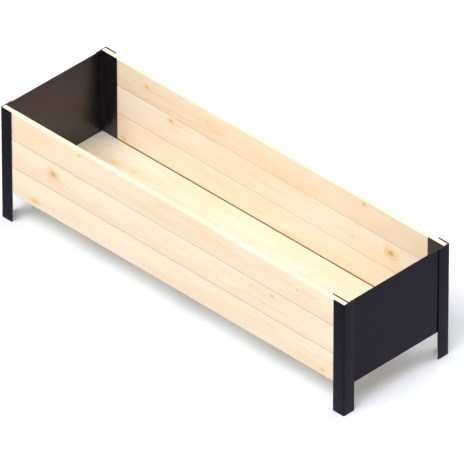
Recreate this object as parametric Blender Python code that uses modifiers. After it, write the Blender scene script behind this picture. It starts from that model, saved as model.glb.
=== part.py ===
"""Empty raised-bed planter box on four steel legs.

Three softwood boards on each long side run between two end panels of folded sheet steel. Each board
end sits in the slot between a leg's side flange, outside, and the end panel's side flange, inside.
A floor panel lies on the end panels' bottom lips and on three steel straps across the underside.

Frame: +X along the bed, +Y across it, +Z up, origin on the ground under the middle of the bed.
All sizes are in metres.
"""
import math

import bmesh
import bpy

# Overall size
LENGTH = 1.360
WIDTH = 0.420
HEIGHT = 0.380

# Clearance between two pieces that touch
FIT = 0.0003

# Legs of steel angle: thickness, outside radius of the bend, and flange measured from the outside
LEG_SHEET = 0.003
LEG_BEND = 0.0045
LEG_FLANGE = 0.042

# End panels and straps of thinner sheet, with the end panel's own bends and flanges
SHEET = 0.002
PANEL_BEND = 0.003
BEND_STEPS = 4
PANEL_FLANGE = 0.065 - LEG_SHEET - FIT
LIP_DEPTH = 0.025
LIP_SETBACK = 0.006
RELIEF_HEIGHT = 0.0043

# Side boards
BOARD_ROWS = 3
BOARD_HEIGHT = 0.095
BOARD_THICKNESS = 0.017
SEAM_ROUND = 0.0025
EDGE_ROUND = 0.005
ROUND_STEPS = 3
TONGUE_WIDTH = 0.006
TONGUE_HEIGHT = 0.006
BOARD_END_GAP = 0.001

# Floor panel and the straps under it
FLOOR_THICKNESS = 0.007
FLOOR_END_GAP = 0.0008
STRAP_WIDTH = 0.030
STRAP_INSET = 0.0065
STRAP_CORNER = 0.003
STRAP_SCREW_SETBACK = 0.0025
STRAP_STATIONS = (-LENGTH / 4, 0.0, LENGTH / 4)

# Screws
HEAD_RADIUS = 0.004
HEAD_HEIGHT = 0.0024
SHANK_RADIUS = 0.002
SIDE_SCREW_LENGTH = 0.016
STRAP_SCREW_LENGTH = 0.025
SCREW_STATION = 0.035
TURNED_SIDES = 12

# Planes that follow from the sizes above
BOARD_BOTTOM = HEIGHT - BOARD_ROWS * BOARD_HEIGHT
BOARD_OUTSIDE = WIDTH / 2 - LEG_SHEET - FIT
BOARD_INSIDE = BOARD_OUTSIDE - BOARD_THICKNESS
BOARD_END = LENGTH / 2 - LEG_SHEET - BOARD_END_GAP
WEB_OUTSIDE = LENGTH / 2 - LEG_SHEET - FIT
WEB_INSIDE = WEB_OUTSIDE - SHEET
FLANGE_OUTSIDE = BOARD_INSIDE - FIT
FLANGE_INSIDE = FLANGE_OUTSIDE - SHEET
CARRIER_TOP = BOARD_BOTTOM - FIT
CARRIER_BOTTOM = CARRIER_TOP - SHEET
SCREW_X = LENGTH / 2 - SCREW_STATION

SIDES = {"front": -1, "back": 1}
ROWS = ("lower", "middle", "upper")


def clear_scene():
    for old in list(bpy.data.objects):
        bpy.data.objects.remove(old, do_unlink=True)


def new_collection(name):
    collection = bpy.data.collections.new(name)
    bpy.context.scene.collection.children.link(collection)
    return collection


def new_material(name, colour, roughness, metallic):
    material = bpy.data.materials.new(name)
    material.use_nodes = True
    shader = material.node_tree.nodes["Principled BSDF"]
    shader.inputs["Base Color"].default_value = (*colour, 1.0)
    shader.inputs["Roughness"].default_value = roughness
    shader.inputs["Metallic"].default_value = metallic
    return material


def place(name, data, collection, material=None, location=(0, 0, 0), rotation=(0, 0, 0)):
    placed = bpy.data.objects.new(name, data)
    placed.location = location
    placed.rotation_euler = rotation
    collection.objects.link(placed)
    if material:
        data.materials.clear()
        data.materials.append(material)
    return placed


def cut(target, cutter):
    """Take the cutter's volume out of the target."""
    modifier = target.modifiers.new("cut_" + cutter.name, "BOOLEAN")
    modifier.operation = "DIFFERENCE"
    modifier.solver = "EXACT"
    modifier.object = cutter


def hide_cutter(cutter):
    cutter.hide_render = True
    cutter.display_type = "WIRE"


def arc(centre_u, centre_v, radius, start_deg, end_deg):
    """Points on a rounded edge, from one angle to another."""
    points = []
    for step in range(ROUND_STEPS + 1):
        angle = math.radians(start_deg + (end_deg - start_deg) * step / ROUND_STEPS)
        points.append((centre_u + radius * math.cos(angle), centre_v + radius * math.sin(angle)))
    return points


def board_outline(has_groove, has_tongue):
    """Cross-section of a side board, u across its thickness and v up from its lower edge."""
    half = BOARD_THICKNESS / 2
    height = BOARD_HEIGHT if not has_tongue else BOARD_HEIGHT - FIT
    foot_round = SEAM_ROUND if has_groove else EDGE_ROUND
    top_round = SEAM_ROUND if has_tongue else EDGE_ROUND
    right = []
    if has_groove:
        groove_half = TONGUE_WIDTH / 2 + FIT
        right += [(groove_half, TONGUE_HEIGHT), (groove_half, 0.0)]
    right += arc(half - foot_round, foot_round, foot_round, -90, 0)
    right += arc(half - top_round, height - top_round, top_round, 0, 90)
    if has_tongue:
        right += [(TONGUE_WIDTH / 2, height), (TONGUE_WIDTH / 2, height + TONGUE_HEIGHT)]
    left = [(-u, v) for u, v in reversed(right)]
    return right + left


def extrude_outline(name, outline, length, location, rotation):
    """Mesh object from a flat outline, extruded both ways from its plane."""
    curve = bpy.data.curves.new(name + "_outline", "CURVE")
    curve.dimensions = "2D"
    curve.fill_mode = "BOTH"
    curve.extrude = length / 2
    spline = curve.splines.new("POLY")
    spline.points.add(len(outline) - 1)
    for point, (u, v) in zip(spline.points, outline):
        point.co = (u, v, 0.0, 1.0)
    spline.use_cyclic_u = True
    source = bpy.data.objects.new(name + "_outline", curve)
    source.location = location
    source.rotation_euler = rotation
    bpy.context.scene.collection.objects.link(source)
    bpy.context.view_layer.update()
    evaluated = source.evaluated_get(bpy.context.evaluated_depsgraph_get())
    mesh = bpy.data.meshes.new_from_object(evaluated)
    mesh.name = name
    work = bmesh.new()
    work.from_mesh(mesh)
    bmesh.ops.remove_doubles(work, verts=work.verts, dist=0.00001)
    work.to_mesh(mesh)
    work.free()
    matrix = source.matrix_world.copy()
    bpy.data.objects.remove(source, do_unlink=True)
    bpy.data.curves.remove(curve)
    return mesh, matrix


def make_board(name, row, side, collection, material):
    """One side board, its outline turned so that it runs along X."""
    location = (0, side * (BOARD_OUTSIDE + BOARD_INSIDE) / 2, BOARD_BOTTOM + row * BOARD_HEIGHT)
    rotation = (math.radians(90), 0, math.radians(90))
    outline = board_outline(has_groove=row > 0, has_tongue=row < BOARD_ROWS - 1)
    mesh, matrix = extrude_outline(name, outline, 2 * BOARD_END, location, rotation)
    board = place(name, mesh, collection, material)
    board.matrix_world = matrix
    return board


def fold(sheet, edges, offset):
    """Extrude free edges of the sheet into a new wall."""
    walls = bmesh.ops.extrude_edge_only(sheet, edges=edges)
    moved = [item for item in walls["geom"] if isinstance(item, bmesh.types.BMVert)]
    bmesh.ops.translate(sheet, verts=moved, vec=offset)


def edges_at(sheet, axis, value):
    """Free edges whose two ends lie at one value along an axis."""
    found = []
    for edge in sheet.edges:
        if edge.is_boundary and all(abs(vert.co[axis] - value) < FIT / 10 for vert in edge.verts):
            found.append(edge)
    return found


def flat_sheet(low_y, high_y, low_z, high_z):
    """A flat sheet in the plane X = 0 that faces +X."""
    sheet = bmesh.new()
    bmesh.ops.create_grid(sheet, x_segments=1, y_segments=1, size=0.5)
    for vert in sheet.verts:
        across, up = vert.co.x + 0.5, vert.co.y + 0.5
        vert.co = (0.0, low_y + across * (high_y - low_y), low_z + up * (high_z - low_z))
    return sheet


def finish_folds(sheet, name, radius):
    """Round every fold, turn the outside to +X and give back the mesh."""
    folds = [edge for edge in sheet.edges if edge.is_manifold and edge.calc_face_angle() > 0.5]
    bmesh.ops.bevel(sheet, geom=folds, offset=radius, segments=BEND_STEPS, profile=0.5,
                    affect="EDGES", clamp_overlap=False)
    bmesh.ops.recalc_face_normals(sheet, faces=sheet.faces)
    web = max(sheet.faces, key=lambda face: face.calc_area() * abs(face.normal.x))
    if web.normal.x < 0:
        bmesh.ops.reverse_faces(sheet, faces=sheet.faces)
    mesh = bpy.data.meshes.new(name)
    sheet.to_mesh(mesh)
    sheet.free()
    return mesh


def thicken(piece, thickness):
    """Give the folded surface its sheet thickness, inwards."""
    modifier = piece.modifiers.new("sheet_thickness", "SOLIDIFY")
    modifier.thickness = thickness
    modifier.offset = -1
    modifier.use_even_offset = True


def end_panel_mesh():
    """Folded end panel for the +X end: a web, two side flanges and a bottom lip between reliefs."""
    lip_half = FLANGE_OUTSIDE - LIP_SETBACK
    relief_top = CARRIER_BOTTOM + RELIEF_HEIGHT
    sheet = flat_sheet(-FLANGE_OUTSIDE, FLANGE_OUTSIDE, CARRIER_BOTTOM, HEIGHT)
    for point, normal in (
        ((0, -lip_half, 0), (0, 1, 0)),
        ((0, lip_half, 0), (0, 1, 0)),
        ((0, 0, relief_top), (0, 0, 1)),
    ):
        everything = sheet.verts[:] + sheet.edges[:] + sheet.faces[:]
        bmesh.ops.bisect_plane(sheet, geom=everything, plane_co=point, plane_no=normal)
    reliefs = []
    for face in sheet.faces:
        middle = face.calc_center_median()
        if abs(middle.y) > lip_half and middle.z < relief_top:
            reliefs.append(face)
    bmesh.ops.delete(sheet, geom=reliefs, context="FACES")
    fold(sheet, edges_at(sheet, 1, -FLANGE_OUTSIDE), (-PANEL_FLANGE, 0, 0))
    fold(sheet, edges_at(sheet, 1, FLANGE_OUTSIDE), (-PANEL_FLANGE, 0, 0))
    fold(sheet, edges_at(sheet, 2, CARRIER_BOTTOM), (-LIP_DEPTH, 0, 0))
    return finish_folds(sheet, "end_panel", PANEL_BEND)


def leg_mesh():
    """Steel angle with its outer corner at the origin and its flanges along -X and -Y."""
    sheet = flat_sheet(-LEG_FLANGE, 0.0, 0.0, HEIGHT)
    fold(sheet, edges_at(sheet, 1, 0.0), (-LEG_FLANGE, 0, 0))
    return finish_folds(sheet, "leg", LEG_BEND)


def make_end_panels(collection, material):
    panels = []
    for name, end in (("end_panel_right", 1), ("end_panel_left", -1)):
        turn = 0.0 if end > 0 else math.pi
        location = (end * WEB_OUTSIDE, 0, 0)
        panel = place(name, end_panel_mesh(), collection, material, location, (0, 0, turn))
        thicken(panel, SHEET)
        panels.append(panel)
    return panels


def make_legs(collection, material):
    corners = (("leg_back_right", 1, 1), ("leg_back_left", -1, 1),
               ("leg_front_left", -1, -1), ("leg_front_right", 1, -1))
    for quarter_turns, (name, end, side) in enumerate(corners):
        location = (end * LENGTH / 2, side * WIDTH / 2, 0)
        turn = quarter_turns * math.pi / 2
        leg = place(name, leg_mesh(), collection, material, location, (0, 0, turn))
        thicken(leg, LEG_SHEET)


def box_mesh(name, size):
    work = bmesh.new()
    bmesh.ops.create_cube(work, size=1.0)
    bmesh.ops.scale(work, vec=size, verts=work.verts)
    mesh = bpy.data.meshes.new(name)
    work.to_mesh(mesh)
    work.free()
    return mesh


def make_floor(collection, material):
    size = (2 * (WEB_INSIDE - FLOOR_END_GAP), 2 * (FLANGE_INSIDE - FIT), FLOOR_THICKNESS)
    location = (0, 0, BOARD_BOTTOM + FLOOR_THICKNESS / 2)
    return place("floor_panel", box_mesh("floor_panel", size), collection, material, location)


def make_straps(collection, material):
    straps = []
    size = (STRAP_WIDTH, 2 * (BOARD_OUTSIDE - STRAP_INSET), SHEET)
    for number, station in enumerate(STRAP_STATIONS, 1):
        name = f"floor_strap_{number}"
        mesh = box_mesh(name, size)
        work = bmesh.new()
        work.from_mesh(mesh)
        upright = [edge for edge in work.edges if abs(edge.verts[0].co.z - edge.verts[1].co.z) > SHEET / 2]
        bmesh.ops.bevel(work, geom=upright, offset=STRAP_CORNER, segments=2, profile=0.5, affect="EDGES")
        work.to_mesh(mesh)
        work.free()
        location = (station, 0, (CARRIER_TOP + CARRIER_BOTTOM) / 2)
        straps.append(place(name, mesh, collection, material, location))
    return straps


def screw_mesh(name, length):
    """Half profile of a pan-head screw, from the top of the head down to the tip."""
    profile = (
        (0.0, HEAD_HEIGHT),
        (HEAD_RADIUS * 0.6, HEAD_HEIGHT),
        (HEAD_RADIUS * 0.92, HEAD_HEIGHT * 0.62),
        (HEAD_RADIUS, 0.0),
        (SHANK_RADIUS, 0.0),
        (SHANK_RADIUS, -length + 2 * SHANK_RADIUS),
        (0.0, -length),
    )
    work = bmesh.new()
    verts = [work.verts.new((radius, 0.0, height)) for radius, height in profile]
    for upper, lower in zip(verts, verts[1:]):
        work.edges.new((upper, lower))
    mesh = bpy.data.meshes.new(name)
    work.to_mesh(mesh)
    work.free()
    return mesh


def make_screw(name, length, collection, material, location, rotation):
    """Screw whose head rests on the point given, with its head towards its local +Z."""
    screw = place(name, screw_mesh(name, length), collection, material, location, rotation)
    turned = screw.modifiers.new("turned", "SCREW")
    turned.steps = TURNED_SIDES
    turned.render_steps = TURNED_SIDES
    turned.use_merge_vertices = True
    turned.merge_threshold = 0.00001
    return screw


def make_hole(name, depth, collection, location, rotation):
    """Round cutter for a screw's shank, with its far end just past the screw's tip."""
    work = bmesh.new()
    overshoot = HEAD_HEIGHT
    bmesh.ops.create_cone(work, cap_ends=True, segments=TURNED_SIDES, radius1=SHANK_RADIUS + FIT,
                          radius2=SHANK_RADIUS + FIT, depth=depth + overshoot)
    bmesh.ops.translate(work, verts=work.verts, vec=(0, 0, (overshoot - depth) / 2))
    mesh = bpy.data.meshes.new(name)
    work.to_mesh(mesh)
    work.free()
    cutter = place(name, mesh, collection, None, location, rotation)
    hide_cutter(cutter)
    return cutter


def fasten_boards(boards, panels, parts, cutters, material):
    """A screw from the inside through the end panel's flange into each board end."""
    for (side_name, row), board in boards.items():
        side = SIDES[side_name]
        for end_name, end, panel in (("right", 1, panels[0]), ("left", -1, panels[1])):
            height = BOARD_BOTTOM + (row + 0.5) * BOARD_HEIGHT
            location = (end * SCREW_X, side * (FLANGE_INSIDE - FIT), height)
            rotation = (side * math.pi / 2, 0, 0)
            label = f"{side_name}_{ROWS[row]}_{end_name}"
            make_screw("screw_" + label, SIDE_SCREW_LENGTH, parts, material, location, rotation)
            depth = SIDE_SCREW_LENGTH + FIT
            hole = make_hole("hole_" + label, depth, cutters, location, rotation)
            cut(panel, hole)
            cut(board, hole)


def fasten_straps(boards, straps, parts, cutters, material):
    """A screw from below through each strap end into the lowest board, a little inside its middle."""
    for number, (station, strap) in enumerate(zip(STRAP_STATIONS, straps), 1):
        for side_name, side in SIDES.items():
            middle = (BOARD_OUTSIDE + BOARD_INSIDE) / 2
            location = (station, side * (middle - STRAP_SCREW_SETBACK), CARRIER_BOTTOM - FIT)
            rotation = (math.pi, 0, 0)
            label = f"strap_{number}_{side_name}"
            make_screw("screw_" + label, STRAP_SCREW_LENGTH, parts, material, location, rotation)
            depth = STRAP_SCREW_LENGTH + FIT
            hole = make_hole("hole_" + label, depth, cutters, location, rotation)
            cut(strap, hole)
            cut(boards[(side_name, 0)], hole)


def build():
    clear_scene()
    parts = new_collection("raised_bed_planter")
    cutters = new_collection("cutters")
    side_wood = new_material("side_wood", (0.80, 0.61, 0.42), 0.62, 0.0)
    floor_wood = new_material("floor_wood", (0.84, 0.68, 0.47), 0.60, 0.0)
    steel_coat = new_material("steel_coat", (0.030, 0.028, 0.037), 0.48, 0.0)
    screw_coat = new_material("screw_coat", (0.020, 0.020, 0.022), 0.40, 0.6)

    panels = make_end_panels(parts, steel_coat)
    make_legs(parts, steel_coat)
    boards = {}
    for side_name, side in SIDES.items():
        for row, row_name in enumerate(ROWS):
            name = f"side_board_{side_name}_{row_name}"
            boards[(side_name, row)] = make_board(name, row, side, parts, side_wood)
    make_floor(parts, floor_wood)
    straps = make_straps(parts, steel_coat)
    fasten_boards(boards, panels, parts, cutters, screw_coat)
    fasten_straps(boards, straps, parts, cutters, screw_coat)


build()
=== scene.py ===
"""Looks of the empty raised-bed planter: pale softwood boards between dark powder-coated steel ends."""
import math

import bmesh
import bpy
from mathutils import Matrix, Vector


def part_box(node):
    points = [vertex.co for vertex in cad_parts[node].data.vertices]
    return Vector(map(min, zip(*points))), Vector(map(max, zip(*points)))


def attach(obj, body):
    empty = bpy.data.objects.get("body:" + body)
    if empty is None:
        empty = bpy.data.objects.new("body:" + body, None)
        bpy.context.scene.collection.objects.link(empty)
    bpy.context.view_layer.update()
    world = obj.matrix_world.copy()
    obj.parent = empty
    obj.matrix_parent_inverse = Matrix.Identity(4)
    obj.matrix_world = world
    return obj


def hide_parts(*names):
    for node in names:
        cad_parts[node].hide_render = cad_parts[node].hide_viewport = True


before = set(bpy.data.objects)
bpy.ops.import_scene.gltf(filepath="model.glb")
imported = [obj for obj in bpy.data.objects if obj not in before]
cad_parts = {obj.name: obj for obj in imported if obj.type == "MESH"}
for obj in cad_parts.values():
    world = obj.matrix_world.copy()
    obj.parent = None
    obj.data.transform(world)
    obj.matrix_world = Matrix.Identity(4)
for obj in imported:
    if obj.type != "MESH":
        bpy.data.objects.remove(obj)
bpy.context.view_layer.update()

# The photograph's frame, in pixels, and the camera solved for it
FRAME_PIXELS = 464
FOCAL_PIXELS = 13611.87
CAMERA_AZIMUTH = 44.8450
CAMERA_ELEVATION = 35.6300
CAMERA_DISTANCE = 38.37362
AIM_RIGHT = 0.02356
AIM_UP = 0.147700

MM = 0.001

# Sizes that the solids were made with, in metres
FIT = 0.3 * MM
SHEET = 2 * MM
PANEL_BEND = 3 * MM
LEG_SHEET = 3 * MM
LEG_BEND = 4.5 * MM
BEND_SEGMENTS = 8
STEEL_EDGE = 0.35 * MM
LIP_SETBACK = 6 * MM
LIP_DEPTH = 25 * MM
RELIEF_HEIGHT = 4.3 * MM
SEAM_ROUND = 2.5 * MM
EDGE_ROUND = 5 * MM
ROUND_SEGMENTS = 6
TONGUE_WIDTH = 6 * MM
TONGUE_HEIGHT = 6 * MM
JOINT_SHADOW = 0.5 * MM
HOLE_RADIUS = 2.3 * MM
HEAD_RADIUS = 4 * MM
HEAD_HEIGHT = 2.4 * MM
SHANK_RADIUS = 2 * MM

SIDES = ("front", "back")
ROWS = ("lower", "middle", "upper")
ENDS = ("left", "right")


# Modelling by hand

def deselect():
    bpy.ops.object.select_all(action="DESELECT")


def only(piece):
    """Make the piece the one that operators act on."""
    deselect()
    piece.select_set(True)
    bpy.context.view_layer.objects.active = piece


def settle(piece):
    """Put the piece's place, turn and scale into its mesh."""
    only(piece)
    bpy.ops.object.transform_apply(location=True, rotation=True, scale=True)


def new_plane(name, centre, rotation, size):
    deselect()
    bpy.ops.mesh.primitive_plane_add(size=1, location=centre, rotation=rotation)
    piece = bpy.context.object
    piece.name = name
    piece.scale = (size[0], size[1], 1)
    settle(piece)
    return piece


def new_box(name, low, high):
    deselect()
    bpy.ops.mesh.primitive_cube_add(size=1, location=(low + high) / 2)
    piece = bpy.context.object
    piece.name = name
    piece.scale = high - low
    settle(piece)
    return piece


def edit(piece):
    only(piece)
    bpy.ops.object.mode_set(mode="EDIT")


def leave():
    bpy.ops.object.mode_set(mode="OBJECT")


def pick(kind, test):
    """Select the active mesh's verts, edges or faces that pass a test, and nothing else."""
    bpy.ops.mesh.select_mode(type=kind)
    bpy.ops.mesh.select_all(action="DESELECT")
    data = bpy.context.object.data
    mesh = bmesh.from_edit_mesh(data)
    for item in {"VERT": mesh.verts, "EDGE": mesh.edges, "FACE": mesh.faces}[kind]:
        if test(item):
            item.select_set(True)
    mesh.select_flush_mode()
    bmesh.update_edit_mesh(data)


def slice_at(point, normal):
    """Cut the whole active mesh along a plane."""
    bpy.ops.mesh.select_all(action="SELECT")
    bpy.ops.mesh.bisect(plane_co=point, plane_no=normal)


def near(value, target, reach=0.02 * MM):
    return abs(value - target) < reach


def middle_of(edge):
    return (edge.verts[0].co + edge.verts[1].co) / 2


def apply_modifier(piece, kind, **settings):
    modifier = piece.modifiers.new(kind.lower(), kind)
    for key, value in settings.items():
        setattr(modifier, key, value)
    only(piece)
    bpy.ops.object.modifier_apply(modifier=modifier.name)


def cut_away(piece, cutter):
    apply_modifier(piece, "BOOLEAN", operation="DIFFERENCE", solver="EXACT", object=cutter)
    bpy.data.objects.remove(cutter, do_unlink=True)


def smooth(piece, degrees=35):
    only(piece)
    bpy.ops.object.shade_smooth_by_angle(angle=math.radians(degrees))


def outward():
    """Turn the active mesh's faces to its outside."""
    bpy.ops.mesh.select_all(action="SELECT")
    bpy.ops.mesh.normals_make_consistent(inside=False)


def copy_piece(piece, name, transform):
    """A copy with its own mesh, moved by a matrix."""
    twin = piece.copy()
    twin.data = piece.data.copy()
    twin.name = name
    twin.data.transform(transform)
    bpy.context.scene.collection.objects.link(twin)
    return twin


def dress(piece, material, slot, *nodes):
    """Finish a piece: its material, the body it rides on and the solids it stands for."""
    piece.data.materials.clear()
    piece.data.materials.append(material)
    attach(piece, "root")
    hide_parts(*nodes)


# Shader values

class Value:
    """A shader socket. Operators on it add Math nodes."""

    def __init__(self, surface, socket):
        self.surface = surface
        self.socket = socket

    def math(self, operation, first, second=None):
        values = {0: first}
        if second is not None:
            values[1] = second
        return self.surface.node("ShaderNodeMath", {"operation": operation}, values)

    def __add__(self, other):
        return self.math("ADD", self, other)

    def __radd__(self, other):
        return self.math("ADD", other, self)

    def __sub__(self, other):
        return self.math("SUBTRACT", self, other)

    def __rsub__(self, other):
        return self.math("SUBTRACT", other, self)

    def __mul__(self, other):
        return self.math("MULTIPLY", self, other)

    def __rmul__(self, other):
        return self.math("MULTIPLY", other, self)

    def __truediv__(self, other):
        return self.math("DIVIDE", self, other)

    def __pow__(self, other):
        return self.math("POWER", self, other)

    def __rpow__(self, other):
        return self.math("POWER", other, self)

    def root(self):
        return self.math("SQRT", self)

    def fraction(self):
        return self.math("FRACT", self)

    def whole(self):
        return self.math("FLOOR", self)

    def larger(self, other):
        return self.math("MAXIMUM", self, other)

    def smaller(self, other):
        return self.math("MINIMUM", self, other)

    def between(self, start, end, low=0.0, high=1.0):
        """Smooth step from low to high as the value goes from start to end."""
        settings = {"interpolation_type": "SMOOTHSTEP"}
        values = {"Value": self, "From Min": start, "From Max": end, "To Min": low, "To Max": high}
        return self.surface.node("ShaderNodeMapRange", settings, values)


class Surface:
    """A material under construction."""

    def __init__(self, name):
        self.material = bpy.data.materials.new(name)
        self.material.use_nodes = True
        self.tree = self.material.node_tree
        self.shader = self.tree.nodes["Principled BSDF"]

    def node(self, kind, settings=None, values=None, output=0):
        """Add a node: its settings first, then the values or links of its sockets."""
        made = self.tree.nodes.new(kind)
        for key, value in (settings or {}).items():
            if key == "stops":
                fill_ramp(made.color_ramp, value)
            else:
                setattr(made, key, value)
        for key, value in (values or {}).items():
            self.feed(made.inputs[key], value)
        return Value(self, made.outputs[output])

    def feed(self, socket, value):
        if isinstance(value, Value):
            self.tree.links.new(value.socket, socket)
        else:
            socket.default_value = value

    def set(self, **values):
        """Set or link sockets of the shader, named with underscores for spaces."""
        for key, value in values.items():
            self.feed(self.shader.inputs[key.replace("_", " ")], value)

    def position(self):
        """The object's own x, y and z."""
        place = self.node("ShaderNodeTexCoord", output="Object")
        split = self.node("ShaderNodeSeparateXYZ", None, {0: place})
        return [Value(self, socket) for socket in split.socket.node.outputs]

    def vector(self, x, y, z):
        return self.node("ShaderNodeCombineXYZ", None, {0: x, 1: y, 2: z})

    def noise(self, vector, scale=1.0, detail=2.0, roughness=0.5, output=0):
        values = {"Vector": vector, "Scale": scale, "Detail": detail, "Roughness": roughness}
        return self.node("ShaderNodeTexNoise", None, values, output)

    def mix(self, factor, first, second, blend="MIX"):
        """Mix two colours, each an RGBA tuple or a link."""
        settings = {"data_type": "RGBA", "blend_type": blend}
        return self.node("ShaderNodeMix", settings, {0: factor, 6: first, 7: second}, 2)

    def ramp(self, factor, stops):
        return self.node("ShaderNodeValToRGB", {"stops": stops}, {0: factor})

    def bump(self, height, distance, strength=1.0):
        values = {"Height": height, "Distance": distance, "Strength": strength}
        return self.node("ShaderNodeBump", None, values)


def fill_ramp(ramp, stops):
    while len(ramp.elements) < len(stops):
        ramp.elements.new(1.0)
    for element, (place, colour) in zip(ramp.elements, stops):
        element.position = place
        element.color = colour


def rgb(red, green, blue):
    return (red, green, blue, 1.0)


def grey(value):
    return (value, value, value, 1.0)


# Softwood

RING_PITCH = 3.4 * MM
VENEER_PITCH = 5.5 * MM
KNOT_STRETCH = 1.35


class Knot:
    """A knot in a board: where it lies along and across it, its radius, how dark its body is and
    how far the rings swirl round it."""

    def __init__(self, along, across, radius, dark=1.0, swirl=2.6):
        self.along = along * MM
        self.across = across * MM
        self.radius = radius * MM
        self.dark = dark
        self.swirl = swirl


class Streak:
    """A soft golden streak of resin-rich wood: its middle, half length, half height and strength."""

    def __init__(self, along, across, length, height, strength=1.0):
        self.along = along * MM
        self.across = across * MM
        self.length = length * MM
        self.height = height * MM
        self.strength = strength


class Stock:
    """What sets one board's wood apart: where its pith lies, its tone, its knots and its streaks."""

    def __init__(self, seed, pith_depth, pith_height, tone, knots=(), streaks=(), contrast=1.0):
        self.seed = seed
        self.pith_depth = pith_depth * MM
        self.pith_height = pith_height * MM
        self.tone = tone
        self.knots = knots
        self.streaks = streaks
        self.contrast = contrast


def board_rings(surface, along, through, across, stock):
    """Distance from the pith of the log, which lies outside the board and wanders along it."""
    drift = surface.vector(along * 1.5 + stock.seed, through * 6.0, across * 6.0)
    wander = (surface.noise(drift, detail=2.0) - 0.5) * (22 * MM)
    ripple_at = surface.vector(along * 9.0 + stock.seed, through * 40.0, across * 40.0)
    ripple = (surface.noise(ripple_at, detail=2.0) - 0.5) * (2.4 * MM)
    depth = through - stock.pith_depth
    height = across - stock.pith_height
    return (depth * depth + height * height).root() + wander + ripple + along * 0.011


def veneer_rings(surface, along, across, stock):
    """Rings peeled almost along their own surface, which opens them into long flames."""
    flame_at = surface.vector(along * 1.7 + stock.seed, across * 6.5, stock.seed)
    flame = surface.noise(flame_at, detail=1.5) * (95 * MM)
    ripple_at = surface.vector(along * 8.0 + stock.seed, across * 34.0, stock.seed)
    return flame + surface.noise(ripple_at, detail=2.0) * (5 * MM) + across * 0.10


def knot_fields(surface, along, across, stock):
    """Where the knots are: their body, their inner rings, and how far they push the rings aside."""
    core = heart = push = None
    for number, knot in enumerate(stock.knots):
        edge_at = surface.vector(along * 160.0 + stock.seed, across * 160.0, number * 3.7)
        ragged = (surface.noise(edge_at, detail=2.0) - 0.5) * 0.7
        u = (along - knot.along) / (knot.radius * KNOT_STRETCH)
        v = (across - knot.across) / knot.radius
        apart = (u * u + v * v).root() + ragged
        body = apart.between(1.2, 0.62, 0.0, knot.dark)
        swirl = math.e ** (apart * apart * -0.16) * knot.swirl
        inner = (apart * 2.6).fraction().between(0.3, 0.95)
        inner = inner.larger(apart.between(0.66, 0.9)).larger(apart.between(0.3, 0.1))
        core = body if core is None else core.larger(body)
        heart = inner if heart is None else heart.smaller(inner)
        push = swirl if push is None else push.larger(swirl)
    return core, heart, push


def streak_field(surface, along, across, stock):
    """How golden the wood is, from its streaks."""
    gold = None
    for streak in stock.streaks:
        u = (along - streak.along) / streak.length
        v = (across - streak.across) / streak.height
        patch = math.e ** ((u * u + v * v) * -1.0) * streak.strength
        gold = patch if gold is None else gold.larger(patch)
    broken_at = surface.vector(along * 26.0 + stock.seed, across * 190.0, stock.seed)
    return gold * surface.noise(broken_at, detail=3.0).between(0.25, 0.65, 0.35, 1.0)


def softwood(surface, along, through, across, rings, pitch, stock):
    """Planed spruce: growth rings with a dark late edge, fine fibres, clouds of tone, knots and
    golden streaks. Returns its colour, roughness and relief."""
    seed = stock.seed
    core = None
    if stock.knots:
        core, heart, push = knot_fields(surface, along, across, stock)
        rings = rings + push * pitch
    ring = rings / pitch
    late_stops = ((0.0, grey(0.0)), (0.4, grey(0.06)), (0.84, grey(1.0)), (1.0, grey(0.0)))
    late = surface.ramp(ring.fraction(), late_stops)
    year_values = {"W": ring.whole() + seed}
    year = surface.node("ShaderNodeTexWhiteNoise", {"noise_dimensions": "1D"}, year_values)
    fibre_at = surface.vector(along * 22.0 + seed, through * 1500.0, across * 1500.0)
    fibre = surface.noise(fibre_at, detail=3.0, roughness=0.6)
    cloud_at = surface.vector(along * 2.6 + seed, through * 16.0, across * 16.0)
    cloud = surface.noise(cloud_at, detail=4.0, roughness=0.6)

    red, green, blue = stock.tone
    pale = rgb(red, green, blue)
    dark = rgb(red * 0.93, green * 0.79, blue * 0.58)
    line = late * (0.15 + 0.85 * year) * 0.5 + (fibre - 0.5) * 0.42
    colour = surface.mix((line * stock.contrast).larger(0.0).smaller(1.0), pale, dark)
    warm = surface.mix(1.0, colour, rgb(1.0, 0.93, 0.85), "MULTIPLY")
    colour = surface.mix(cloud.between(0.38, 0.66), colour, warm)
    if stock.streaks:
        gold = surface.mix(1.0, colour, rgb(0.97, 0.84, 0.60), "MULTIPLY")
        colour = surface.mix(streak_field(surface, along, across, stock), colour, gold)
    if core is not None:
        around = surface.mix(1.0, colour, rgb(0.97, 0.87, 0.68), "MULTIPLY")
        colour = surface.mix(push.between(0.6, 2.4), colour, around)
        knot_colour = surface.mix(heart, rgb(0.72, 0.47, 0.22), rgb(0.50, 0.27, 0.10))
        colour = surface.mix(core, colour, knot_colour)
    rough = 0.62 - late * 0.10 + (fibre - 0.5) * 0.16
    relief = late * 0.5 + fibre * 0.6
    return colour, rough, relief


def finish_wood(surface, colour, rough, relief):
    surface.set(Base_Color=colour, Roughness=rough, Normal=surface.bump(relief, 0.12 * MM, 0.5))
    surface.set(Specular_IOR_Level=0.28)


CREAM = (0.775, 0.665, 0.52)
PINK = (0.785, 0.675, 0.55)
STRAW = (0.775, 0.67, 0.53)
INNER_CREAM = (0.80, 0.71, 0.59)
INNER_PINK = (0.81, 0.705, 0.55)
INNER_STRAW = (0.765, 0.67, 0.54)
FLOOR_TONE = (0.745, 0.68, 0.56)

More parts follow.
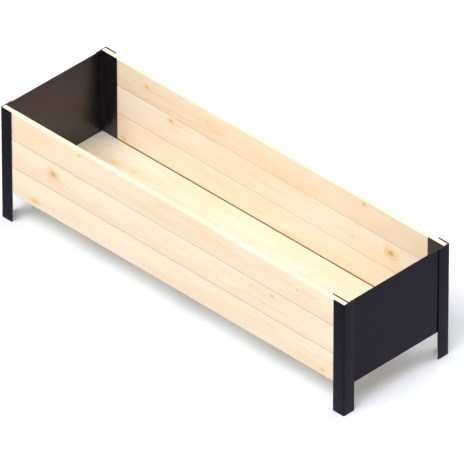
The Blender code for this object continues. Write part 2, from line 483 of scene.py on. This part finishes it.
BOARD_STOCK = {
    "board_front_upper": Stock(
        3.1, -46, 12, CREAM,
        (Knot(-368, 32, 2.6, 0.7), Knot(495, 6, 3.0, 0.5)),
        (Streak(480, -17, 34, 5, 0.5), Streak(-90, -20, 120, 6, 0.35))),
    "board_front_middle": Stock(
        17.4, -62, -6, PINK,
        (Knot(-473, 11, 9.5, 0.85, 3.4), Knot(-440, -3, 4.0, 0.12, 2.0), Knot(396, 30, 4.2, 0.55)),
        (Streak(-455, 2, 34, 9, 0.55), Streak(330, 24, 60, 6, 0.4), Streak(210, 23, 130, 3, 0.3))),
    "board_front_lower": Stock(
        29.8, -50, 20, STRAW,
        (Knot(-550, -27, 6.0, 0.25), Knot(593, -27, 3.6, 0.5)),
        (Streak(-556, -24, 40, 10, 0.9), Streak(-77, -23, 50, 5, 0.5), Streak(560, -22, 42, 5, 0.4))),
    "board_back_upper": Stock(
        41.2, 58, -14, INNER_PINK,
        (Knot(-496, 7, 4.6, 0.5), Knot(364, 31, 4.0, 0.6), Knot(-253, 9, 2.4, 0.5)),
        (Streak(-488, 2, 44, 7, 0.6), Streak(-250, 6, 60, 6, 0.4), Streak(330, -36, 40, 6, 0.4))),
    "board_back_middle": Stock(
        57.9, 47, 8, INNER_CREAM,
        (Knot(-400, 33, 5.5, 0.6), Knot(472, 12, 8.5, 0.9, 4.2), Knot(319, -5, 2.6, 0.3)),
        (Streak(-380, 28, 60, 7, 0.6), Streak(472, 12, 30, 12, 0.4), Streak(300, 2, 60, 6, 0.4))),
    "board_back_lower": Stock(
        63.3, 66, -10, INNER_STRAW,
        (Knot(-590, -27, 4.5, 0.4),),
        (Streak(71, -31, 42, 9, 0.9), Streak(-585, -24, 26, 8, 0.5), Streak(-200, -28, 70, 6, 0.3))),
}


def board_material(name, side, row, centre, shoulder_reach, floor_top):
    """Softwood of one board, with dust and painted shade darkening its joints, and painted shade in the gap beside
    the floor on the lowest boards.
    """
    surface = Surface("softwood_" + name)
    x, y, z = surface.position()
    along, through, across = x - centre.x, y - centre.y, z - centre.z
    stock = BOARD_STOCK[name]
    rings = board_rings(surface, along, through, across, stock)
    colour, rough, relief = softwood(surface, along, through, across, rings, RING_PITCH, stock)
    # Dust and painted shade: the wood darkens within 1.1 mm of each seam, where shade falls between the boards.
    dust_and_shade = surface.mix(1.0, colour, rgb(0.58, 0.46, 0.35), "MULTIPLY")
    if row < len(ROWS) - 1:
        colour = surface.mix(across.between(shoulder_reach - 1.1 * MM, shoulder_reach), colour, dust_and_shade)
    if row > 0:
        colour = surface.mix(across.between(1.1 * MM - shoulder_reach, -shoulder_reach), colour, dust_and_shade)
    else:
        # Painted shade: the inner face goes dark brown from about 3 mm above the floor down into the gap beside the
        # floor's edge.
        inward = through if side == "front" else through * -1.0
        gap_shade = rgb(0.21, 0.13, 0.07)
        low = z.between(floor_top + 3.2 * MM, floor_top + 0.8 * MM) * inward.between(7 * MM, 8.5 * MM)
        colour = surface.mix(low, colour, gap_shade)
    finish_wood(surface, colour, rough, relief)
    return surface.material


def floor_material(low, high):
    centre = (low + high) / 2
    knots = (Knot(-543, 99, 5.0, 0.12, 2.0), Knot(-466, 107, 4.0, 0.15, 2.0))
    streaks = (Streak(-540, 100, 60, 14, 0.7), Streak(-440, 108, 90, 12, 0.5), Streak(-318, 92, 60, 12, 0.5))
    stock = Stock(81.5, 0, 0, FLOOR_TONE, knots, streaks, 0.8)
    surface = Surface("floor_veneer")
    x, y, z = surface.position()
    along, through, across = x - centre.x, z - centre.z, y - centre.y
    rings = veneer_rings(surface, along, across, stock)
    colour, rough, relief = softwood(surface, along, through, across, rings, VENEER_PITCH, stock)
    # Painted shade: a dark strip along the floor's front and back edges, where it meets the boards.
    edge = surface.node("ShaderNodeMath", {"operation": "ABSOLUTE"}, {0: across})
    edge = edge.between(high.y - centre.y - 0.7 * MM, high.y - centre.y - 0.1 * MM)
    colour = surface.mix(edge, colour, rgb(0.22, 0.16, 0.11))
    finish_wood(surface, colour, rough, relief)
    return surface.material


# Powder coat and screws

def powder_coat():
    surface = Surface("powder_coat")
    x, y, z = surface.position()
    everywhere = surface.vector(x, y, z)
    peel = surface.noise(everywhere, scale=900.0, detail=2.0)
    speck = surface.noise(everywhere, scale=2600.0, detail=1.0)
    patch = surface.noise(everywhere, scale=7.0, detail=3.0)
    colour = surface.mix(patch.between(0.3, 0.7), rgb(0.0026, 0.0024, 0.0034), rgb(0.0036, 0.0033, 0.0046))
    colour = surface.mix(speck.between(0.62, 0.8) * 0.35, colour, rgb(0.012, 0.012, 0.015))
    scuffed = z.between(9 * MM, 0.0) * surface.noise(everywhere, scale=320.0, detail=3.0).between(0.45, 0.62)
    colour = surface.mix(scuffed * 0.7, colour, rgb(0.10, 0.095, 0.09))
    rough = 0.29 + patch * 0.10 + (speck - 0.5) * 0.10 + scuffed * 0.25
    height = peel + speck * 0.35
    surface.set(Base_Color=colour, Roughness=rough, Normal=surface.bump(height, 0.05 * MM, 0.5))
    surface.set(IOR=1.62, Specular_Tint=rgb(1.0, 0.87, 1.0))
    return surface.material


def screw_coat():
    surface = Surface("screw_coat")
    x, y, z = surface.position()
    everywhere = surface.vector(x, y, z)
    grain = surface.noise(everywhere, scale=1800.0, detail=2.0)
    worn = surface.noise(everywhere, scale=700.0, detail=3.0).between(0.6, 0.75)
    colour = surface.mix(worn * 0.5, rgb(0.018, 0.018, 0.020), rgb(0.11, 0.105, 0.10))
    surface.set(Base_Color=colour, Roughness=0.34 + grain * 0.2, Metallic=worn * 0.6 + 0.3)
    surface.set(Normal=surface.bump(grain, 0.03 * MM, 0.4))
    return surface.material


# Pieces

def make_board(name, node, has_groove, has_tongue):
    """A tongue-and-groove board: its end section drawn first, then drawn out along the bed."""
    low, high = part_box(node)
    shoulder = high.z - (TONGUE_HEIGHT if has_tongue else 0.0)
    foot = low.z + (JOINT_SHADOW if has_groove else 0.0)
    centre = Vector((low.x, (low.y + high.y) / 2, (foot + shoulder) / 2))
    section = (shoulder - foot, high.y - low.y)
    piece = new_plane(name, centre, (0, -math.pi / 2, 0), section)
    edit(piece)
    slice_at((0, centre.y - TONGUE_WIDTH / 2, 0), (0, 1, 0))
    slice_at((0, centre.y + TONGUE_WIDTH / 2, 0), (0, 1, 0))
    if has_tongue:
        pick("EDGE", lambda e: near(middle_of(e).z, shoulder) and near(middle_of(e).y, centre.y))
        bpy.ops.mesh.extrude_edges_move(TRANSFORM_OT_translate={"value": (0, 0, TONGUE_HEIGHT)})
    if has_groove:
        groove_top = low.z + TONGUE_HEIGHT + FIT
        slice_at((0, 0, groove_top), (0, 0, 1))
        pick("FACE", lambda f: f.calc_center_median().z < groove_top
             and near(f.calc_center_median().y, centre.y))
        bpy.ops.mesh.delete(type="FACE")
    foot_round = SEAM_ROUND if has_groove else EDGE_ROUND
    top_round = SEAM_ROUND if has_tongue else EDGE_ROUND
    for level, radius in ((foot, foot_round), (shoulder, top_round)):
        pick("VERT", lambda v: near(v.co.z, level) and (near(v.co.y, low.y) or near(v.co.y, high.y)))
        bpy.ops.mesh.bevel(offset=radius, segments=ROUND_SEGMENTS, affect="VERTICES")
    bpy.ops.mesh.select_all(action="SELECT")
    bpy.ops.mesh.dissolve_limited(angle_limit=math.radians(1))
    bpy.ops.mesh.select_all(action="SELECT")
    bpy.ops.mesh.extrude_region_move(TRANSFORM_OT_translate={"value": (high.x - low.x, 0, 0)})
    outward()
    leave()
    smooth(piece, 30)
    return piece


def make_boards():
    floor_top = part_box("floor_panel")[1].z
    for side in SIDES:
        for row, level in enumerate(ROWS):
            node = f"side_board_{side}_{level}"
            name = f"board_{side}_{level}"
            has_tongue = row < len(ROWS) - 1
            piece = make_board(name, node, row > 0, has_tongue)
            low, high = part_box(node)
            shoulder = high.z - (TONGUE_HEIGHT if has_tongue else 0.0)
            centre = Vector((0, (low.y + high.y) / 2, (low.z + shoulder) / 2))
            material = board_material(name, side, row, centre, shoulder - centre.z, floor_top)
            dress(piece, material, "side_wood", node)


def thicken(piece, thickness):
    """Give a folded surface its sheet thickness and soft edges."""
    apply_modifier(piece, "SOLIDIFY", thickness=thickness, offset=-1, use_even_offset=True)
    apply_modifier(piece, "BEVEL", width=STEEL_EDGE, segments=2, limit_method="ANGLE",
                   angle_limit=math.radians(50), harden_normals=False)
    smooth(piece, 30)


def bend_folds(radius):
    """Round every fold of the active sheet."""
    pick("EDGE", lambda e: len(e.link_faces) == 2 and e.calc_face_angle() > 0.5)
    bpy.ops.mesh.bevel(offset=radius, segments=BEND_SEGMENTS, affect="EDGES", clamp_overlap=False)


def drill(piece, x, heights, low_y, high_y):
    """Round holes through both side flanges of an end panel."""
    for height in heights:
        for y in (low_y, high_y):
            deselect()
            bpy.ops.mesh.primitive_cylinder_add(vertices=24, radius=HOLE_RADIUS, depth=4 * SHEET,
                                                location=(x, y, height), rotation=(math.pi / 2, 0, 0))
            cut_away(piece, bpy.context.object)


def make_end_panel():
    """The folded end at +X: web, two side flanges, and the bottom lip between its reliefs."""
    low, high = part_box("end_panel_right")
    lip_half = high.y - LIP_SETBACK
    relief_top = low.z + RELIEF_HEIGHT
    centre = Vector((high.x, 0, (low.z + high.z) / 2))
    piece = new_plane("folded_end_right", centre, (0, math.pi / 2, 0), (high.z - low.z, high.y - low.y))
    edit(piece)
    slice_at((0, -lip_half, 0), (0, 1, 0))
    slice_at((0, lip_half, 0), (0, 1, 0))
    slice_at((0, 0, relief_top), (0, 0, 1))
    pick("FACE", lambda f: abs(f.calc_center_median().y) > lip_half and f.calc_center_median().z < relief_top)
    bpy.ops.mesh.delete(type="FACE")
    for y in (low.y, high.y):
        pick("EDGE", lambda e: e.is_boundary and all(near(v.co.y, y) for v in e.verts))
        bpy.ops.mesh.extrude_edges_move(TRANSFORM_OT_translate={"value": (low.x - high.x, 0, 0)})
    pick("EDGE", lambda e: e.is_boundary and all(near(v.co.z, low.z) for v in e.verts))
    bpy.ops.mesh.extrude_edges_move(TRANSFORM_OT_translate={"value": (-LIP_DEPTH, 0, 0)})
    outward_sheet(high.x)
    bend_folds(PANEL_BEND)
    leave()
    thicken(piece, SHEET)
    screw_low, screw_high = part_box("screw_back_lower_right")
    rows = [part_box(f"screw_back_{level}_right") for level in ROWS]
    heights = [(a.z + b.z) / 2 for a, b in rows]
    drill(piece, (screw_low.x + screw_high.x) / 2, heights, low.y + SHEET / 2, high.y - SHEET / 2)
    return piece


def outward_sheet(outer_x):
    """Turn an open sheet so that the face at its outer x looks along +X."""
    bpy.ops.mesh.select_all(action="SELECT")
    bpy.ops.mesh.normals_make_consistent(inside=False)
    mesh = bmesh.from_edit_mesh(bpy.context.object.data)
    web = max((f for f in mesh.faces if near(f.calc_center_median().x, outer_x)), key=lambda f: f.calc_area())
    if web.normal.x < 0:
        bpy.ops.mesh.flip_normals()


def make_end_panels(material):
    right = make_end_panel()
    left = copy_piece(right, "folded_end_left", Matrix.Rotation(math.pi, 4, "Z"))
    for end, piece in (("right", right), ("left", left)):
        dress(piece, material, "steel_coat", "end_panel_" + end)


def make_legs(material):
    """Four steel angles: one made in the back right corner, the others turned into their corners."""
    low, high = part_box("leg_back_right")
    width = high.y - low.y
    centre = Vector((high.x, (low.y + high.y) / 2, (low.z + high.z) / 2))
    first = new_plane("angle_leg_back_right", centre, (0, math.pi / 2, 0), (high.z - low.z, width))
    edit(first)
    pick("EDGE", lambda e: all(near(v.co.y, high.y) for v in e.verts))
    bpy.ops.mesh.extrude_edges_move(TRANSFORM_OT_translate={"value": (low.x - high.x, 0, 0)})
    outward_sheet(high.x)
    bend_folds(LEG_BEND)
    leave()
    thicken(first, LEG_SHEET)
    corner = Vector((high.x, high.y, 0))
    for turns, (side, end) in enumerate((("back", "right"), ("back", "left"), ("front", "left"), ("front", "right"))):
        name = f"angle_leg_{side}_{end}"
        target = Vector((corner.x * (1 if end == "right" else -1), corner.y * (1 if side == "back" else -1), 0))
        turn = Matrix.Rotation(turns * math.pi / 2, 4, "Z")
        move = Matrix.Translation(target) @ turn @ Matrix.Translation(-corner)
        piece = first if turns == 0 else copy_piece(first, name, move)
        dress(piece, material, "steel_coat", f"leg_{side}_{end}")


def make_floor():
    low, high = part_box("floor_panel")
    piece = new_box("floor_sheet", low, high)
    apply_modifier(piece, "BEVEL", width=0.5 * MM, segments=2, limit_method="ANGLE")
    smooth(piece)
    dress(piece, floor_material(low, high), "floor_wood", "floor_panel")


def make_straps(material):
    for number in (1, 2, 3):
        node = f"floor_strap_{number}"
        low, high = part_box(node)
        piece = new_box(f"flat_strap_{number}", low, high)
        edit(piece)
        pick("EDGE", lambda e: abs(e.verts[0].co.z - e.verts[1].co.z) > SHEET / 2)
        bpy.ops.mesh.bevel(offset=3 * MM, segments=6, affect="EDGES")
        leave()
        apply_modifier(piece, "BEVEL", width=STEEL_EDGE, segments=2, limit_method="ANGLE",
                       angle_limit=math.radians(50))
        smooth(piece)
        dress(piece, material, "steel_coat", node)


def make_screw(length):
    """Pan-head screw at the origin, head up, with a cross recess."""
    deselect()
    bpy.ops.mesh.primitive_cylinder_add(vertices=40, radius=HEAD_RADIUS, depth=HEAD_HEIGHT,
                                        location=(0, 0, HEAD_HEIGHT / 2))
    piece = bpy.context.object
    edit(piece)
    pick("EDGE", lambda e: all(near(v.co.z, HEAD_HEIGHT) for v in e.verts))
    bpy.ops.mesh.bevel(offset=1.3 * MM, segments=5, affect="EDGES")
    pick("FACE", lambda f: near(f.calc_center_median().z, 0))
    bpy.ops.mesh.inset(thickness=HEAD_RADIUS - SHANK_RADIUS)
    bpy.ops.mesh.extrude_region_move(TRANSFORM_OT_translate={"value": (0, 0, -(length - 2 * SHANK_RADIUS))})
    bpy.ops.mesh.extrude_region_move(TRANSFORM_OT_translate={"value": (0, 0, -2 * SHANK_RADIUS)})
    bpy.ops.mesh.merge(type="CENTER")
    leave()
    settle(piece)
    for turn in (0, math.pi / 2):
        deselect()
        bpy.ops.mesh.primitive_cube_add(size=1, location=(0, 0, HEAD_HEIGHT), rotation=(0, 0, turn))
        slot = bpy.context.object
        slot.scale = (4.4 * MM, 0.95 * MM, 2.4 * MM)
        settle(slot)
        edit(slot)
        pick("FACE", lambda f: f.normal.z < -0.9)
        bpy.ops.transform.resize(value=(0.45, 0.8, 1))
        leave()
        cut_away(piece, slot)
    smooth(piece, 30)
    return piece


def make_screws(material):
    short = make_screw(16 * MM)
    long = make_screw(25 * MM)
    for side in SIDES:
        turn = math.pi / 2 if side == "back" else -math.pi / 2
        for level in ROWS:
            for end in ENDS:
                label = f"{side}_{level}_{end}"
                low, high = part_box("screw_" + label)
                head_y = low.y + HEAD_HEIGHT if side == "back" else high.y - HEAD_HEIGHT
                seat = Vector(((low.x + high.x) / 2, head_y, (low.z + high.z) / 2))
                move = Matrix.Translation(seat) @ Matrix.Rotation(turn, 4, "X")
                piece = copy_piece(short, "board_screw_" + label, move)
                dress(piece, material, "screw_coat", "screw_" + label)
        for number in (1, 2, 3):
            label = f"strap_{number}_{side}"
            low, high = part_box("screw_" + label)
            seat = Vector(((low.x + high.x) / 2, (low.y + high.y) / 2, low.z + HEAD_HEIGHT))
            move = Matrix.Translation(seat) @ Matrix.Rotation(math.pi, 4, "X")
            piece = copy_piece(long, "under_screw_" + label, move)
            dress(piece, material, "screw_coat", "screw_" + label)
    bpy.data.objects.remove(short, do_unlink=True)
    bpy.data.objects.remove(long, do_unlink=True)


# Studio

CARD_DIM = rgb(0.157, 0.160, 0.215)
CARD_BRIGHT = rgb(0.302, 0.308, 0.412)


def stage_plane(name, height, material):
    deselect()
    bpy.ops.mesh.primitive_plane_add(size=120, location=(0, 0, height))
    plane = bpy.context.object
    plane.name = name
    settle(plane)
    plane.data.materials.append(material)
    return plane


def glow(surface, colour):
    """Make a surface that only gives off light."""
    surface.set(Base_Color=grey(0.0), Specular_IOR_Level=0.0, Emission_Color=colour, Emission_Strength=1.0)
    return surface.material


def make_ground():
    """Plain white ground, clear from below. The steel mirrors a grey card in its place, as in the photograph."""
    surface = Surface("ground_white")
    surface.set(Base_Color=rgb(0.68, 0.713, 0.762), Roughness=0.9, Specular_IOR_Level=0.0)
    clear = surface.node("ShaderNodeBsdfTransparent")
    below = surface.node("ShaderNodeNewGeometry", output="Backfacing")
    own = Value(surface, surface.shader.outputs[0])
    mixed = surface.node("ShaderNodeMixShader", None, {0: below, 1: own, 2: clear})
    surface.tree.links.new(mixed.socket, surface.tree.nodes["Material Output"].inputs["Surface"])
    ground = stage_plane("ground", 0, surface.material)
    ground.visible_glossy = False
    ground.visible_diffuse = ground.visible_shadow = False
    reflected = Surface("card_grey")
    x, y, z = reflected.position()
    fade = reflected.mix(y.between(-0.9, 0.8), CARD_DIM, CARD_BRIGHT)
    card = stage_plane("reflection_card", -0.05, glow(reflected, fade))
    card.visible_camera = card.visible_diffuse = card.visible_shadow = False


def make_backdrop():
    """A white shell far outside, which only the camera sees."""
    deselect()
    bpy.ops.mesh.primitive_uv_sphere_add(segments=32, ring_count=16, radius=90)
    backdrop = bpy.context.object
    backdrop.name = "backdrop"
    backdrop.data.materials.append(glow(Surface("backdrop_white"), grey(1.0)))
    backdrop.visible_diffuse = backdrop.visible_glossy = backdrop.visible_shadow = False
    backdrop.visible_transmission = False


def soft_light(name, azimuth, elevation, spread, strength):
    """Parallel light with the soft shadows of a lamp that looks spread degrees wide."""
    turn, rise = math.radians(azimuth), math.radians(elevation)
    away = Vector((math.sin(turn) * math.cos(rise), -math.cos(turn) * math.cos(rise), math.sin(rise)))
    data = bpy.data.lights.new(name, "SUN")
    data.angle = math.radians(spread)
    data.energy = strength
    lamp = bpy.data.objects.new(name, data)
    lamp.rotation_euler = away.to_track_quat("Z", "Y").to_euler()
    bpy.context.scene.collection.objects.link(lamp)


def make_world():
    """Surroundings bright from below and at the horizon and darker overhead."""
    world = bpy.data.worlds.new("studio")
    world.use_nodes = True
    tree = world.node_tree
    sky = tree.nodes["Background"]
    place = tree.nodes.new("ShaderNodeTexCoord")
    split = tree.nodes.new("ShaderNodeSeparateXYZ")
    spread = tree.nodes.new("ShaderNodeMapRange")
    spread.inputs["From Min"].default_value = -1.0
    ramp = tree.nodes.new("ShaderNodeValToRGB")
    fill_ramp(ramp.color_ramp, ((0.0, grey(1.0)), (0.497, grey(1.0)), (0.503, grey(0.22)), (0.6, grey(0.22)),
                                (0.66, grey(0.30)), (0.8, grey(0.30)), (0.86, grey(0.71)), (1.0, grey(0.71))))
    tree.links.new(place.outputs["Generated"], split.inputs[0])
    tree.links.new(split.outputs["Z"], spread.inputs["Value"])
    tree.links.new(spread.outputs[0], ramp.inputs[0])
    tree.links.new(ramp.outputs["Color"], sky.inputs["Color"])
    sky.inputs["Strength"].default_value = 0.98
    bpy.context.scene.world = world


def make_camera():
    turn, rise = math.radians(CAMERA_AZIMUTH), math.radians(CAMERA_ELEVATION)
    back = Vector((math.sin(turn) * math.cos(rise), -math.cos(turn) * math.cos(rise), math.sin(rise)))
    right = Vector((math.cos(turn), math.sin(turn), 0))
    up = back.cross(right)
    data = bpy.data.cameras.new("camera")
    data.sensor_width = 36.0
    data.lens = data.sensor_width * FOCAL_PIXELS / FRAME_PIXELS
    data.clip_start = 1.0
    data.clip_end = 200.0
    camera = bpy.data.objects.new("camera", data)
    place = back * CAMERA_DISTANCE + right * AIM_RIGHT + up * AIM_UP
    camera.matrix_world = Matrix.Translation(place) @ Matrix((right, up, back)).transposed().to_4x4()
    bpy.context.scene.collection.objects.link(camera)
    bpy.context.scene.camera = camera


def make_studio():
    make_ground()
    make_backdrop()
    make_world()
    soft_light("key_left", -18, 54, 36, 1.66)
    soft_light("key_right", 16, 54, 36, 1.95)
    soft_light("back", 180, 50, 45, 1.55)
    bpy.context.scene.view_settings.view_transform = "Standard"


def main():
    coat = powder_coat()
    make_boards()
    make_end_panels(coat)
    make_legs(coat)
    make_floor()
    make_straps(coat)
    make_screws(screw_coat())
    make_studio()
    make_camera()


main()
